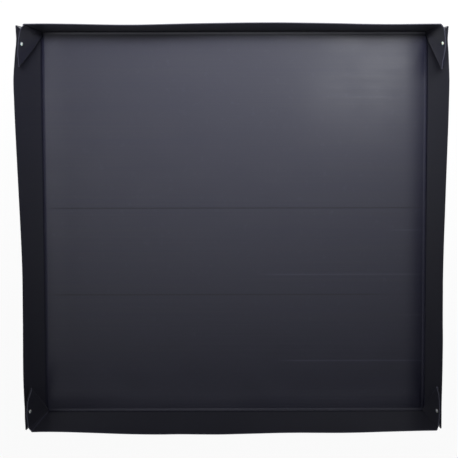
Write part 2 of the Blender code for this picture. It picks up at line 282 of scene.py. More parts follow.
class TraySizes(bpy.types.PropertyGroup):
    """Sizes of the tray and of its sheet."""

    floor_width: FloatProperty(
        name="Floor width",
        description="Between the two side creases",
        default=FLOOR_HIGH[0] - FLOOR_LOW[0] + FOLD_GAPS,
        unit="LENGTH",
    )
    floor_depth: FloatProperty(
        name="Floor depth",
        description="Between the two end creases",
        default=FLOOR_HIGH[1] - FLOOR_LOW[1] + FOLD_GAPS,
        unit="LENGTH",
    )
    wall_height: FloatProperty(
        name="Wall height", description="From crease to rim", default=0.100, unit="LENGTH"
    )
    sheet: FloatProperty(
        name="Sheet thickness",
        description="Over both skins",
        default=FLOOR_HIGH[2] - FLOOR_LOW[2],
        unit="LENGTH",
    )
    side_half: FloatProperty(
        name="Side wall half length",
        description="From its middle to the folds at its ends",
        default=0.4975,
        unit="LENGTH",
    )
    flute_pitch: FloatProperty(
        name="Flute pitch", description="Between neighbouring ribs", default=0.0032, unit="LENGTH"
    )
    skin: FloatProperty(
        name="Skin", description="Thickness of each skin", default=0.00028, unit="LENGTH"
    )
    rib: FloatProperty(name="Rib", description="Thickness of a rib", default=0.0003, unit="LENGTH")
    flute_depth: FloatProperty(
        name="Open flute depth",
        description="How far the open flutes are modelled down from a rim",
        default=0.012,
        unit="LENGTH",
    )
    skin_sag: FloatProperty(
        name="Skin sag",
        description="How far a skin sinks between two ribs",
        default=0.00005,
        unit="LENGTH",
    )
    crease_border: FloatProperty(
        name="Crease border",
        description="How far a crease strip reaches to each side of its fold",
        default=0.008,
        unit="LENGTH",
    )
    crease_radius: FloatProperty(
        name="Crease radius", description="Outer radius of a fold", default=0.0032, unit="LENGTH"
    )
    crease_crush: FloatProperty(
        name="Crushed thickness",
        description="Thickness of the sheet where the crease has pressed it",
        default=0.0012,
        unit="LENGTH",
    )
    shoulder: FloatProperty(
        name="Shoulder",
        description="How far the floor's skin is raised beside a crease that runs along the flutes",
        default=0.00045,
        unit="LENGTH",
    )
    corner_radius: FloatProperty(
        name="Corner radius",
        description="Outer radius of the fold between an end wall and its web",
        default=0.004,
        unit="LENGTH",
    )
    pin_inset: FloatProperty(
        name="Pin inset", description="From the end of the side wall", default=0.045, unit="LENGTH"
    )
    pin_drop: FloatProperty(
        name="Pin drop", description="Down from the rim", default=0.012, unit="LENGTH"
    )
    pin_head: FloatProperty(
        name="Pin head", description="Diameter of the domed head", default=0.0088, unit="LENGTH"
    )
    pin_flange: FloatProperty(
        name="Pin flange", description="Diameter of the socket", default=0.012, unit="LENGTH"
    )


class TrayColours(bpy.types.PropertyGroup):
    """Colours of the finishes, as sRGB hex values."""

    sheet_black: StringProperty(
        name="Sheet", description="Carbon black polypropylene", default="#181828"
    )
    sheet_streak: StringProperty(
        name="Streak", description="Paler die lines along the flutes", default="#1e1e28"
    )
    rubbed: StringProperty(
        name="Rubbed", description="Where the skin is scuffed or stressed", default="#3a3a48"
    )
    # Paler than the sheet, partly as a painted highlight along the lit cut rims
    cut_edge_highlight: StringProperty(
        name="Cut edge", description="Knife-cut ends of the sheet", default="#2d2d38"
    )
    open_edge: StringProperty(
        name="Open edge", description="Rims with open flutes, mostly shade", default="#0c0c11"
    )
    # Painted highlight: a paler colour on some folds, standing in for the light along them
    painted_fold_highlight: StringProperty(
        name="Stressed", description="Folds whose skin has whitened a little", default="#3c3c46"
    )
    # Painted shade: the colour of the dark floor marks, standing in for the shade of slight valleys
    # in the sheet
    pressed: StringProperty(
        name="Pressed", description="Dark lines pressed along the flutes", default="#050506"
    )
    nylon: StringProperty(name="Nylon", description="Natural moulded nylon", default="#e9e9e4")
    nylon_shade: StringProperty(
        name="Nylon shade", description="Its slightly darker flow marks", default="#dcdcd4"
    )
    ground: StringProperty(name="Ground", description="Studio floor", default="#f6f6f6")


def sizes():
    return bpy.context.scene.tray_sizes


def colours():
    return bpy.context.scene.tray_colours


def linear(code):
    """An sRGB hex value as a linear colour: each channel through the sRGB curve."""
    made = []
    for i in (1, 3, 5):
        value = int(code[i : i + 2], 16) / 255
        made.append(value / 12.92 if value <= 0.04045 else ((value + 0.055) / 1.055) ** 2.4)
    return (*made, 1.0)


# Shapes


def smooth_at(table, at):
    """Hermite curve through the table's places and values, whose slope at each place is the chord
    of its neighbours."""
    places, values = np.array(table, float).T
    slopes = np.empty_like(values)
    slopes[1:-1] = (values[2:] - values[:-2]) / (places[2:] - places[:-2])
    slopes[0] = (values[1] - values[0]) / (places[1] - places[0])
    slopes[-1] = (values[-1] - values[-2]) / (places[-1] - places[-2])
    at = np.asarray(at, float)
    i = np.clip(np.searchsorted(places, at) - 1, 0, len(places) - 2)
    span = places[i + 1] - places[i]
    t = np.clip((at - places[i]) / span, 0, 1)
    start = values[i] * (1 + 2 * t) * (1 - t) ** 2 + slopes[i] * span * t * (1 - t) ** 2
    return start + values[i + 1] * t * t * (3 - 2 * t) - slopes[i + 1] * span * t * t * (1 - t)


def side_lean(side, along):
    return np.radians(smooth_at(SIDES[side][1], along))


def end_lean(end, along):
    return np.radians(smooth_at(ENDS[end][1], along))


def stacked(*parts):
    return np.stack(np.broadcast_arrays(*parts), axis=-1)


def side_point(side, along, up, inward):
    """Point of a side wall: from the crease line, up along the leaning outer skin, then inward at a
    right angle to it."""
    lean = side_lean(side, along)
    x = sizes().floor_width / 2 + up * np.sin(lean) - inward * np.cos(lean)
    return stacked(side * x, along, up * np.cos(lean) + inward * np.sin(lean))


def end_point(end, along, up, inward):
    """Point of an end wall, the same way."""
    lean = end_lean(end, along)
    y = sizes().floor_depth / 2 + up * np.sin(lean) - inward * np.cos(lean)
    return stacked(along, end * y, up * np.cos(lean) + inward * np.sin(lean))


def new_piece(name, points, faces, materials, crisp, kinds=0):
    """A piece with the given points and faces. Each face takes the material of its kind. Doubled
    points are welded, faces turned outward, and edges sharper than the angle stay crisp."""
    mesh = bpy.data.meshes.new(name)
    mesh.from_pydata(points.reshape(-1, 3), [], faces.tolist())
    kinds = np.minimum(kinds, len(materials) - 1) + np.zeros(len(faces), int)
    mesh.polygons.foreach_set("material_index", kinds)
    for material in materials:
        mesh.materials.append(material)
    welded = bmesh.new()
    welded.from_mesh(mesh)
    bmesh.ops.remove_doubles(welded, verts=welded.verts, dist=WELD)
    bmesh.ops.dissolve_degenerate(welded, edges=welded.edges, dist=WELD / 4)
    bmesh.ops.recalc_face_normals(welded, faces=welded.faces)
    welded.to_mesh(mesh)
    welded.free()
    mesh.shade_smooth()
    mesh.set_sharp_from_angle(angle=crisp)
    made = bpy.data.objects.new(name, mesh)
    bpy.context.scene.collection.objects.link(made)
    return made


def closed_object(name, loops, materials, edge_columns=(), folds=()):
    """A closed body from a grid of stations by points round the section. The sections wrap round,
    and the first and last are closed by strips between their two halves. The edge columns take the
    second material, and the folds' stations the third."""
    stations, around = loops.shape[:2]
    index = np.arange(stations * around).reshape(stations, around)
    onward = np.roll(index, -1, axis=1)
    quads = np.stack([index[:-1], onward[:-1], onward[1:], index[1:]], axis=-1)
    kinds = np.zeros(quads.shape[:2], int)
    for station in folds:
        kinds[station] = 2
    kinds[:, list(edge_columns)] = 1
    half = around // 2
    j = np.arange(half - 1)
    first, last = (
        np.stack([row[j], row[around - 1 - j], row[around - 2 - j], row[j + 1]], axis=-1)
        for row in (index[0], index[-1])
    )
    faces = np.concatenate([quads.reshape(-1, 4), first, last[:, ::-1]])
    kinds = np.concatenate([kinds.ravel(), np.ones(2 * (half - 1), int)])
    return new_piece(name, loops, faces, materials, SHEET_CRISP, kinds)


def turned_piece(name, profile, origin, axis, material):
    """A turned piece: the profile of radii and heights, swept round its axis."""
    radii, heights = np.array(profile, float).T
    angle = np.linspace(0, 2 * np.pi, PIN_STATIONS + 1)[:-1, None]
    ring = stacked(np.cos(angle) * radii, np.sin(angle) * radii, heights)
    turn = np.array(Vector((0, 0, 1)).rotation_difference(Vector(axis)).to_matrix())
    index = np.arange(PIN_STATIONS * radii.size).reshape(PIN_STATIONS, radii.size)
    onward = np.roll(index, -1, axis=0)
    quads = np.stack([index[:, :-1], onward[:, :-1], onward[:, 1:], index[:, 1:]], axis=-1)
    return new_piece(name, ring @ turn.T + origin, quads.reshape(-1, 4), [material], PIN_CRISP)


def profile_points(table, radius, height):
    """Radii and heights in metres of a profile table, for an outer radius and a height."""
    return [(a * radius + r / 1000, b * height + z / 1000) for a, r, b, z in table]


def there_and_back(points, between=0):
    """Points up one skin, some more at its rim, and back down."""
    return np.concatenate([points, np.repeat(points[-1:], between, axis=0), points[::-1]])


def sunk_skin(places, flutes, seed):
    """How far a skin has sunk at places across the flutes: a raised cosine over each flute, by an
    amount that varies from flute to flute."""
    sag = sizes().skin_sag * np.random.default_rng(seed).uniform(*SAG_SHARES, flutes + 1)
    phase = (places - places[0]) / (places[-1] - places[0]) * flutes
    return sag[np.minimum(phase.astype(int), flutes)] * (1 - np.cos(2 * np.pi * phase)) / 2


def fold_nose(row, pivot, way):
    """Stations of a quarter-round fold end: the row's points swing about the pivot skin's end until
    they lie straight on from it."""
    angles = np.linspace(0, math.pi / 2, NOSE_STATIONS)[1:, None, None]
    reach = np.linalg.norm(row - pivot, axis=-1)[:, None]
    return pivot + (row - pivot) * np.cos(angles) + way * reach * np.sin(angles)


def flute_stations(start, end):
    """Stations along a rim with open flutes, and its two ends. Each flute has its two ribs' faces,
    each twice, and its middle. Returns places, whether the flute is open there, and the share of
    its full sag that the skin has sunk there."""
    count = max(1, round((end - start) / sizes().flute_pitch))
    step = (end - start) / count
    rib = sizes().rib / 2
    places = start + step * np.arange(count)[:, None] + [rib, rib, step / 2, step - rib, step - rib]
    is_open = np.tile([0.0, 1.0, 1.0, 1.0, 0.0], count)
    sunk = np.tile([0.0, 0.0, 1.0, 0.0, 0.0], count)
    return np.concatenate([[start], places.ravel(), [end]]), np.pad(is_open, 1), np.pad(sunk, 1)


def pin_line(side, end):
    """Where a corner's pin crosses the outer skin of the side wall, and its direction inward."""
    given = sizes()
    along = end * (given.side_half - given.pin_inset)
    up = given.wall_height - given.pin_drop
    step = given.sheet
    start = side_point(side, along, up, 0.0)
    upward = side_point(side, along, up + step, 0.0) - start
    onward = side_point(side, along + step, up, 0.0) - start
    inward = side * np.cross(upward, onward)
    return start, inward / np.linalg.norm(inward)


def drill(piece, side, end, diameter):
    """Bores a round hole for a corner's pin through a piece."""
    centre, inward = pin_line(side, end)
    made = bmesh.new()
    radii = {"radius1": diameter / 2, "radius2": diameter / 2}
    bmesh.ops.create_cone(made, cap_ends=True, segments=BORE_STATIONS, depth=BORE_LENGTH, **radii)
    mesh = bpy.data.meshes.new("bore")
    made.to_mesh(mesh)
    made.free()
    cutter = bpy.data.objects.new("bore", mesh)
    bpy.context.scene.collection.objects.link(cutter)
    turn = Vector((0, 0, 1)).rotation_difference(Vector(inward))
    cutter.matrix_world = turn.to_matrix().to_4x4()
    cutter.location = centre
    bpy.context.view_layer.update()
    cut = piece.modifiers.new("bore", "BOOLEAN")
    cut.operation = "DIFFERENCE"
    cut.solver = "MANIFOLD"
    cut.object = cutter
    graph = bpy.context.evaluated_depsgraph_get()
    graph.update()
    bored = bpy.data.meshes.new_from_object(piece.evaluated_get(graph))
    piece.modifiers.remove(cut)
    old = piece.data
    piece.data = bored
    bored.name = old.name
    bpy.data.meshes.remove(old)
    bpy.data.objects.remove(cutter)
    bpy.data.meshes.remove(mesh)


def corner_label(side, end):
    return ENDS[end][0] + "_" + SIDES[side][0]


def corner_centre(side, end, share):
    """Centre line of the rounded corner between an end wall and its web. It rises from the floor's
    corner to the rim's corner, a corner radius in from both outer skins."""
    given = sizes()
    reach = WEB_RIMS[corner_label(side, end)]["reach"]
    lean = end_lean(end, side * given.side_half)
    low = given.floor_width / 2 - given.corner_radius - CORNER_FOOT
    x = low + share * (reach - given.corner_radius - low)
    y = given.floor_depth / 2 - given.corner_radius + share * given.wall_height * np.sin(lean)
    return stacked(side * x, end * y, share * given.wall_height * np.cos(lean))


def corner_arcs(side, end, share, degrees, sunk=0.0):
    """Outer and inner skins of a stretch of the rounded corner, with stations by degrees and rows
    by shares of the height."""
    given = sizes()
    centre = corner_centre(side, end, share)
    angle = np.radians(degrees)[:, None]
    skins = []
    for radius in (given.corner_radius - sunk, given.corner_radius - given.sheet + sunk):
        x = centre[:, 0] + side * radius * np.sin(angle)
        y = centre[:, 1] + end * radius * np.cos(angle)
        skins.append(stacked(x, y, centre[:, 2]))
    return skins


def set_in(side, along, up):
    """Place along a side wall's crease of a flute that starts at the given place: the flutes fan in
    so that the ends of the rim stand in by each tip's set."""
    given = sizes()
    front, back = (WEB_RIMS[corner_label(side, end)]["set"] for end in (-1, 1))
    near = np.clip((np.abs(along) - FAN_START) / (given.side_half - FAN_START), 0, 1) ** 2
    return along + np.where(along < 0, front, -back) * near * up / given.wall_height


def web_surface(side, end, half, share, place):
    """Middle of a folded web's half. At a share of its height and a place along its rim from the
    end wall, it follows the side wall's lean and stands in from it by a depth that grows from the
    layers' thickness at the floor's corner to the rim table's value."""
    given = sizes()
    rims = WEB_RIMS[corner_label(side, end)]
    if half == "outer":
        layer = 1.5 * given.sheet
        low = given.side_half
        high = given.side_half - rims["set"]
        past = place
    else:
        layer = 2.5 * given.sheet
        low = given.floor_depth / 2 - given.corner_radius
        high = abs(corner_centre(side, end, 1.0)[1])
        past = place - (given.side_half - high)
    along = end * (low + share * (high - low) - share * past)
    rim = smooth_at(rims[half], place * 1000) / 1000
    depth = (1 - share) * layer + share * rim
    out = share * given.wall_height * np.sin(side_lean(side, along)) - depth
    top = given.wall_height * np.sin(side_lean(side, end * (high - past))) - rim + layer
    rise = np.sqrt(np.maximum(given.wall_height**2 - top**2, 0))
    up = given.sheet / 2 + share * (rise - given.sheet / 2)
    return stacked(side * (given.floor_width / 2 + out), along, up)


def web_skins(middle, side):
    """Both skins of a sheet about its middle, the side wall's side first, and its direction along
    the rim. Each skin is half the sheet's thickness away along the surface's normal."""
    up = np.gradient(middle, axis=0)
    onward = np.gradient(middle, axis=1)
    normal = np.cross(up, onward)
    normal /= np.linalg.norm(normal, axis=-1, keepdims=True)
    normal *= np.sign(np.sum(normal[..., 0] * side)) * sizes().sheet / 2
    tangent = onward / np.linalg.norm(onward, axis=-1, keepdims=True)
    return middle + normal, middle - normal, tangent


# Finishes


def add_node(tree, kind, inputs=None, **settings):
    """Adds a shader node, sets its properties, and gives each named input its value, a link from a
    socket, or a link from a node's first output."""
    made = tree.nodes.new("ShaderNode" + kind)
    for key, value in settings.items():
        setattr(made, key, value)
    for key, value in (inputs or {}).items():
        if isinstance(value, bpy.types.Node):
            value = value.outputs[0]
        if isinstance(value, bpy.types.NodeSocket):
            tree.links.new(value, made.inputs[key])
        else:
            made.inputs[key].default_value = value
    return made


def new_material(name, colour):
    """A node material with an empty tree, and the call that adds nodes to it."""
    made = bpy.data.materials.new(name)
    made.use_nodes = True
    made.node_tree.nodes.clear()
    made.diffuse_color = colour
    return made, partial(add_node, made.node_tree)


def die_lines(add, place, across):
    """Two bands of fine lines along the flutes: one about a flute wide, and one a few flutes wide,
    drawn coarser than the real ones so that it shows from a metre away."""
    made = []
    for width, per_metre in DIE_LINES:
        scale = [per_metre] * 3
        scale[across] = 1 / width
        moved = add("Mapping", {"Vector": place, "Scale": scale})
        lines = {"Vector": moved, "Scale": 1.0, "Detail": 2.0, "Roughness": 0.5}
        made.append(add("TexNoise", lines))
    return made


def mark_mask(add, place, pale):
    """One where a floor mark of the wanted kind lies, nought elsewhere. Each mark is a line in Y
    about a flute and a half wide, with soft ends in X."""
    axes = add("SeparateXYZ", {"Vector": place}).outputs
    total = 0.0
    for at, start, end, strength in FLOOR_MARKS:
        if (strength > 0) != pale:
            continue
        away = add("Math", {0: axes["Y"], 1: at}, operation="SUBTRACT")
        away = add("Math", {0: away}, operation="ABSOLUTE")
        mask = 1.0
        for value, least, most, begin, stop in (
            (away, *MARK_WIDTHS, abs(strength), 0.0),
            (axes["X"], start - MARK_FADES[0], start + MARK_FADES[1], 0.0, 1.0),
            (axes["X"], end - MARK_FADES[1], end + MARK_FADES[0], 1.0, MARK_END),
        ):
            spans = {"From Min": least, "From Max": most, "To Min": begin, "To Max": stop}
            part = add("MapRange", {"Value": value, **spans})
            mask = add("Math", {0: mask, 1: part}, operation="MULTIPLY")
        total = add("Math", {0: total, 1: mask}, operation="MAXIMUM")
    return total


def edge_set(add, place):
    """Normal of the floor's skin beside the two side creases: its height changes with the square of
    the way past the place where each border's set starts."""
    axes = add("SeparateXYZ", {"Vector": place}).outputs
    height = 0.0
    for side, start, rate in EDGE_SETS:
        past = add("Math", {0: axes["X"], 1: side, 2: -start}, operation="MULTIPLY_ADD")
        past = add("Math", {0: past, 1: 0.0}, operation="MAXIMUM")
        square = add("Math", {0: past, 1: past}, operation="MULTIPLY")
        height = add("Math", {0: square, 1: rate, 2: height}, operation="MULTIPLY_ADD")
    return add("Bump", {"Height": height, "Strength": 1.0, "Distance": 1.0})


def fluted_polypropylene(name, across, sheen, marked=False):
    """Twin-wall polypropylene coloured with carbon black."""
    # Extruded through a die, so its skins carry fine lines along the flutes. Black that turns
    # satin grey towards the light, a little uneven, with faint handling scuffs.
    given = colours()
    base = linear(given.sheet_black)
    made, add = new_material(name, base)
    place = add("TexCoord").outputs["Object"]
    fine, wide = die_lines(add, place, across)
    streak = add("MapRange", {"Value": fine, "From Min": 0.35, "From Max": 0.75, "To Max": 0.8})
    blots = {"Vector": place, "Scale": 1 / SCUFF, "Detail": 6.0, "Roughness": 0.55}
    scuffs = add("TexNoise", blots)
    scuffs = add("MapRange", {"Value": scuffs, "From Min": 0.60, "From Max": 0.78, "To Max": 0.2})
    layers = [(streak, given.sheet_streak), (scuffs, given.rubbed)]
    cloud = add("TexNoise", blots | {"Scale": 1 / HANDLED, "Detail": 3.0})
    cloud = add("MapRange", {"Value": cloud, **MIDDLE, "To Min": -0.02, "To Max": 0.03})
    rough = add("MapRange", {"Value": wide, **MIDDLE, "To Min": 0.32, "To Max": 0.34})
    rough = add("Math", {0: rough, 1: cloud}, operation="ADD")
    lines = {"Height": fine, "Strength": 0.22, "Distance": BUMP_DEPTH}
    if marked:
        # The dark marks are painted shade of slight valleys in the sheet; the pale ones are rubbed
        # scuffs
        painted_bend_shade = mark_mask(add, place, False)
        layers += [(mark_mask(add, place, True), given.rubbed), (painted_bend_shade, given.pressed)]
        rough = add("Math", {0: painted_bend_shade, 1: 0.35, 2: rough}, operation="MULTIPLY_ADD")
        lines["Normal"] = edge_set(add, place)
    for mask, colour in layers:
        mixed = add("Mix", {0: mask, MIX_A: base, MIX_B: linear(colour)}, data_type="RGBA")
        base = mixed.outputs[MIX_OUT]
    looks = {
        "Base Color": base,
        "Roughness": rough,
        "Normal": add("Bump", lines),
        "IOR": POLYPROPYLENE_IOR,
        "Sheen Weight": sheen,
        "Sheen Roughness": 0.5,
    }
    add("OutputMaterial", {"Surface": add("BsdfPrincipled", looks)})
    return made


def cut_polypropylene(name, colour):
    """The same plastic where a knife has cut it, or with a colour painted on some folds as their
    highlight.
    """
    # Torn rather than extruded, so rougher than the skins. A cut rim's paler colour is partly a
    # painted highlight: the thin light line along the lit rim. The paler colour on some folds is a
    # painted highlight along the fold, and the dark colour on rims with open flutes is painted
    # shade.
    made, add = new_material(name, linear(colour))
    place = add("TexCoord").outputs["Object"]
    blots = {"Vector": place, "Scale": 1 / CUT_GRAIN, "Detail": 2.0, "Roughness": 0.55}
    grain = add("TexNoise", blots)
    torn = add("MapRange", {"Value": grain, **MIDDLE, "To Max": 0.6})
    blend = {0: torn, MIX_A: linear(colour), MIX_B: linear(colours().rubbed)}
    looks = {
        "Base Color": add("Mix", blend, data_type="RGBA").outputs[MIX_OUT],
        "Normal": add("Bump", {"Height": grain, "Strength": 0.3, "Distance": BUMP_DEPTH}),
        "Roughness": 0.55,
        "IOR": POLYPROPYLENE_IOR,
    }
    add("OutputMaterial", {"Surface": add("BsdfPrincipled", looks)})
    return made


def pressed_polypropylene(name, across, least):
    """The same plastic where a rule has pressed a crease into it, with its least roughness."""
    # Pressed along the flutes, the skins stretch smooth and a touch glossier than the sheet.
    # Pressed across them, the ribs buckle, and the crease is duller. Both have fine stress lines.
    given = colours()
    made, add = new_material(name, linear(given.sheet_black))
    place = add("TexCoord").outputs["Object"]
    fine, wide = die_lines(add, place, across)
    streak = add("MapRange", {"Value": fine, "From Min": 0.4, "From Max": 0.8})
    blend = {0: streak, MIX_A: linear(given.sheet_black), MIX_B: linear(given.sheet_streak)}
    looks = {
        "Base Color": add("Mix", blend, data_type="RGBA").outputs[MIX_OUT],
        "Normal": add("Bump", {"Height": fine, "Strength": 0.4, "Distance": BUMP_DEPTH}),
        "Roughness": add(
            "MapRange", {"Value": wide, **MIDDLE, "To Min": least, "To Max": least + 0.06}
        ),
        "IOR": POLYPROPYLENE_IOR,
    }
    add("OutputMaterial", {"Surface": add("BsdfPrincipled", looks)})
    return made


def moulded_nylon():
    """Natural nylon of the pins."""
    # Injection moulded and uncoloured: off-white, faintly translucent and softly glossy, so the
    # small heads stand out as bright dots on the black sheet.
    given = colours()
    made, add = new_material("moulded_nylon", linear(given.nylon))
    place = add("TexCoord").outputs["Object"]
    blots = {"Vector": place, "Scale": 1 / FLOW, "Detail": 2.0, "Roughness": 0.55}
    cloud = add("TexNoise", blots)
    share = add("MapRange", {"Value": cloud, **MIDDLE})
    blend = {0: share, MIX_A: linear(given.nylon), MIX_B: linear(given.nylon_shade)}
    looks = {
        "Base Color": add("Mix", blend, data_type="RGBA").outputs[MIX_OUT],
        "Normal": add("Bump", {"Height": cloud, "Strength": 0.08, "Distance": 2 * BUMP_DEPTH}),
        "Roughness": add("MapRange", {"Value": cloud, **MIDDLE, "To Min": 0.32, "To Max": 0.42}),
        "IOR": NYLON_IOR,
        "Subsurface Weight": 0.15,
        "Subsurface Scale": 0.001,
    }
    add("OutputMaterial", {"Surface": add("BsdfPrincipled", looks)})
    return made


def studio_ground():
    """Seamless paper under the tray."""
    # Matt white paper: white to the eye and in reflections, and a plain matt surface to the light,
    # so that the tray keeps a faint shadow.
    paper = linear(colours().ground)
    made, add = new_material("studio_paper", paper)
    rays = add("LightPath").outputs
    seen = rays["Is Camera Ray"]
    for kind in ("Is Glossy Ray", "Is Transmission Ray"):
        seen = add("Math", {0: seen, 1: rays[kind]}, operation="MAXIMUM")
    white = add("Math", {0: seen, 1: PAPER_GLOW}, operation="MULTIPLY")
    matt = add("BsdfDiffuse", {"Color": paper})
    glow = add("Emission", {"Color": (1, 1, 1, 1), "Strength": 1.0})
    mix = add("MixShader", {0: white, 1: matt, 2: glow})
    add("OutputMaterial", {"Surface": mix})
    return made


FINISHES = {}


def finish(name):
    """A finish by its short name, made once."""
    if name not in FINISHES:
        given = colours()
        kinds = {
            "floor": (fluted_polypropylene, "fluted_polypropylene_floor", 1, 0.02, True),
            "across_y": (fluted_polypropylene, "fluted_polypropylene_sides", 1, 0.13),
            "across_z": (fluted_polypropylene, "fluted_polypropylene_ends", 2, 0.13),
            "crease_y": (pressed_polypropylene, "pressed_polypropylene_sides", 1, 0.5),
            "crease_x": (pressed_polypropylene, "pressed_polypropylene_ends", 0, 0.3),
            "edge": (cut_polypropylene, "cut_edge_polypropylene", given.cut_edge_highlight),
            "open_edge": (cut_polypropylene, "open_flute_polypropylene", given.open_edge),
            "painted_fold_highlight": (cut_polypropylene, "stressed_polypropylene", given.painted_fold_highlight),
            "nylon": (moulded_nylon,),
        }
        maker, *values = kinds[name]
        FINISHES[name] = maker(*values)
    return FINISHES[name]


# Pieces


def place_piece(piece, body, node):
    """Lets a stiff piece ride on its body, in place of the body's node."""
    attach(piece, body)
    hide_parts(node)


class TrayFloor(bpy.types.Operator):
    """The floor between its crease strips, its skins sunk a little between the ribs"""

    bl_idname = "tray.floor"
    bl_label = "Floor sheet"

    def execute(self, context):
        """Loops run across the flutes: a station at each rib and two between ribs. Both skins sink
        as a raised cosine over each flute, by an amount that varies from flute to flute."""
        given = sizes()
        half_x = given.floor_width / 2 - given.crease_border
        half_y = given.floor_depth / 2 - given.crease_border
        flutes = round(2 * half_y / given.flute_pitch)
        x = np.linspace(-half_x, half_x, FLOOR_STATIONS)
        y = np.linspace(-half_y, half_y, 3 * flutes + 1)
        sunk = sunk_skin(y, flutes, FLOOR_SEED)[:, None]
        low = stacked(x[::-1], y[:, None], sunk)
        top = stacked(x, y[:, None], given.sheet - sunk)
        loops = np.concatenate([low, top], axis=1)
        piece = closed_object("floor_sheet", loops, [finish("floor")])
        place_piece(piece, "floor", "floor_panel")
        return {"FINISHED"}


class TrayCreases(bpy.types.Operator):
    """The four creases: strips of the sheet pressed thin at the fold and rounded outside"""

    bl_idname = "tray.creases"
    bl_label = "Floor creases"

    def execute(self, context):
        """Each strip's section runs along the floor, round an arc that touches floor and wall, and
        up the wall. The inner skin keeps the sheet's thickness at the borders and the crushed one
        in the middle of the arc. The ends are mitred where two strips meet."""
        given = sizes()
        half, sheet = given.side_half, given.sheet
        border, radius = given.crease_border, given.crease_radius
        ways = np.array([border, border + STRIP_LAP])
        share = np.linspace(-1, 1, CREASE_STATIONS)[:, None]
        steps = np.concatenate([[0, 0], np.linspace(0, 1, ARC_STATIONS), [1, 1]])
        thick = sheet - (sheet - given.crease_crush) * np.sin(np.pi * steps) ** 2
        # At each border the strip runs on inside the panel, thinner than its sunk skins
        inset = np.zeros_like(steps)
        inset[[0, -1]] = 2 * given.skin_sag
        swell = np.clip(1 - 3 * steps, 0, 1) ** 2
        swell[:2] = 0
        for axis, signs, lean_of, full, limit, shoulder, material in (
            (0, SIDES, side_lean, given.floor_width, half, 0.0, "crease_y"),
            (1, ENDS, end_lean, given.floor_depth, half - STRIP_GAP, given.shoulder, "crease_x"),
        ):
            width = full / 2
            for sign, (name, _) in signs.items():
                lean = lean_of(sign, share * half)
                turn = np.pi / 2 - lean
                faces = steps * turn
                flat = radius * (np.sin(faces) - np.tan(turn / 2))
                rise = radius * (1 - np.cos(faces))
                flat[:, :2] = -ways[::-1]
                flat[:, -2:] = ways * np.sin(lean)
                rise[:, -2:] = ways * np.cos(lean)
                outer, inner = (
                    np.array([flat - depth * np.sin(faces), rise + depth * np.cos(faces)])
                    for depth in (inset, thick - inset)
                )
                inner[1] += shoulder * swell
                a, z = np.concatenate([outer, inner[..., ::-1]], axis=2)
                a += width
                b = share * np.minimum(a, limit)
                loops = stacked(b, sign * a, z) if axis else stacked(sign * a, b, z)
                piece = closed_object("crease_" + name, loops, [finish(material)])
                for reach in (sheet - border, border * np.sin(lean.min()) + border - sheet):
                    point = [0.0, 0.0, (width + reach) / 2]
                    point[axis] = sign * point[2]
                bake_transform(piece)
        return {"FINISHED"}


class TraySideWalls(bpy.types.Operator):
    """The side walls, with their flutes open at the rim and their folds at both ends"""

    bl_idname = "tray.side_walls"
    bl_label = "Side walls"

    def execute(self, context):
        """Stations run along the crease, five to a flute. Each section goes up the outer skin, into
        the flute and out again at the rim, and down the inner skin. A rib's station has a flute of
        no depth. Each end is a quarter-round about the inner skin's end."""
        given = sizes()
        half, full, skin, low = given.side_half, given.sheet, given.skin, given.crease_border
        along, is_open, sunk = flute_stations(-half, half)
        sag = sunk * given.skin_sag
        depths = (sag, sag, skin, skin, full - skin, full - skin, full - sag, full - sag)
        cuts = np.linspace(-half, half, RIM_STATIONS)
        for side, (name, _) in SIDES.items():
            uneven = np.random.default_rng(SIDE_SEED + side).normal(0, RIM_UNEVEN, RIM_STATIONS)
            rim = given.wall_height + np.interp(along, cuts, uneven)
            deep = rim - given.flute_depth * is_open
            heights = (low, rim, rim, deep, deep, rim, rim, low)
            loops = np.stack(
                [side_point(side, set_in(side, along, h), h, d) for h, d in zip(heights, depths)],
                axis=1,
            )
            # Each point swings about the inner skin's foot or its rim
            start, stop = (
                fold_nose(row, row[[7, 6, 6, 6, 6, 6, 6, 7]], np.array([0.0, way, 0.0]))
                for row, way in ((loops[0], -1), (loops[-1], 1))
            )
            loops = np.concatenate([start[::-1], loops, stop])
            materials = [finish("across_y"), finish("open_edge")]
            piece = closed_object(name + "_wall_sheet", loops, materials, range(1, 6))
            for end in ENDS:
                drill(piece, side, end, WALL_BORE)
            place_piece(piece, name + "_wall", name + "_wall")
        return {"FINISHED"}


class TrayEndWalls(bpy.types.Operator):
    """The end walls, whose flutes run along them, with half of the rounded corner at each end"""

    bl_idname = "tray.end_walls"
    bl_label = "End walls"

    def execute(self, context):
        """Stations run along the crease and rows up the wall, three to a flute. Each end turns
        through 45 degrees about the corner's centre line."""
        given = sizes()
        low, high = given.crease_border, given.wall_height
        flutes = round((high - low) / given.flute_pitch)
        up = np.linspace(low, high, 3 * flutes + 1)
        share = up / high
        degrees = np.linspace(0, 45, CORNER_STATIONS)[1:]
        bent = {-1: range(degrees.size), 1: range(-degrees.size, 0)}
        for end, (name, _) in ENDS.items():
            sunk = sunk_skin(up, flutes, END_SEED + end)
            left, right = (corner_centre(side, end, share)[:, 0] for side in SIDES)
            along = left + (right - left) * np.linspace(0, 1, END_STATIONS)[:, None]
            starts, stops = (corner_arcs(side, end, share, degrees, sunk) for side in SIDES)
            outer, inner = (
                np.concatenate([start[::-1], end_point(end, along, up, depth), stop])
                for start, stop, depth in zip(starts, stops, (sunk, given.sheet - sunk))
            )
            loops = np.concatenate([outer, inner[:, ::-1]], axis=1)
            # Stations of the rounded corner on which a paler colour is painted as the fold's
            # highlight
            highlit_fold = []
            for side in SIDES:
                if WEB_RIMS[corner_label(side, end)]["highlit_fold"] == "corner":
                    highlit_fold += bent[side]
            materials = [finish("across_z"), finish("edge"), finish("painted_fold_highlight")]
            piece = closed_object(name + "_wall_sheet", loops, materials, [up.size - 1], highlit_fold)
            place_piece(piece, name + "_wall", name + "_wall")
        return {"FINISHED"}


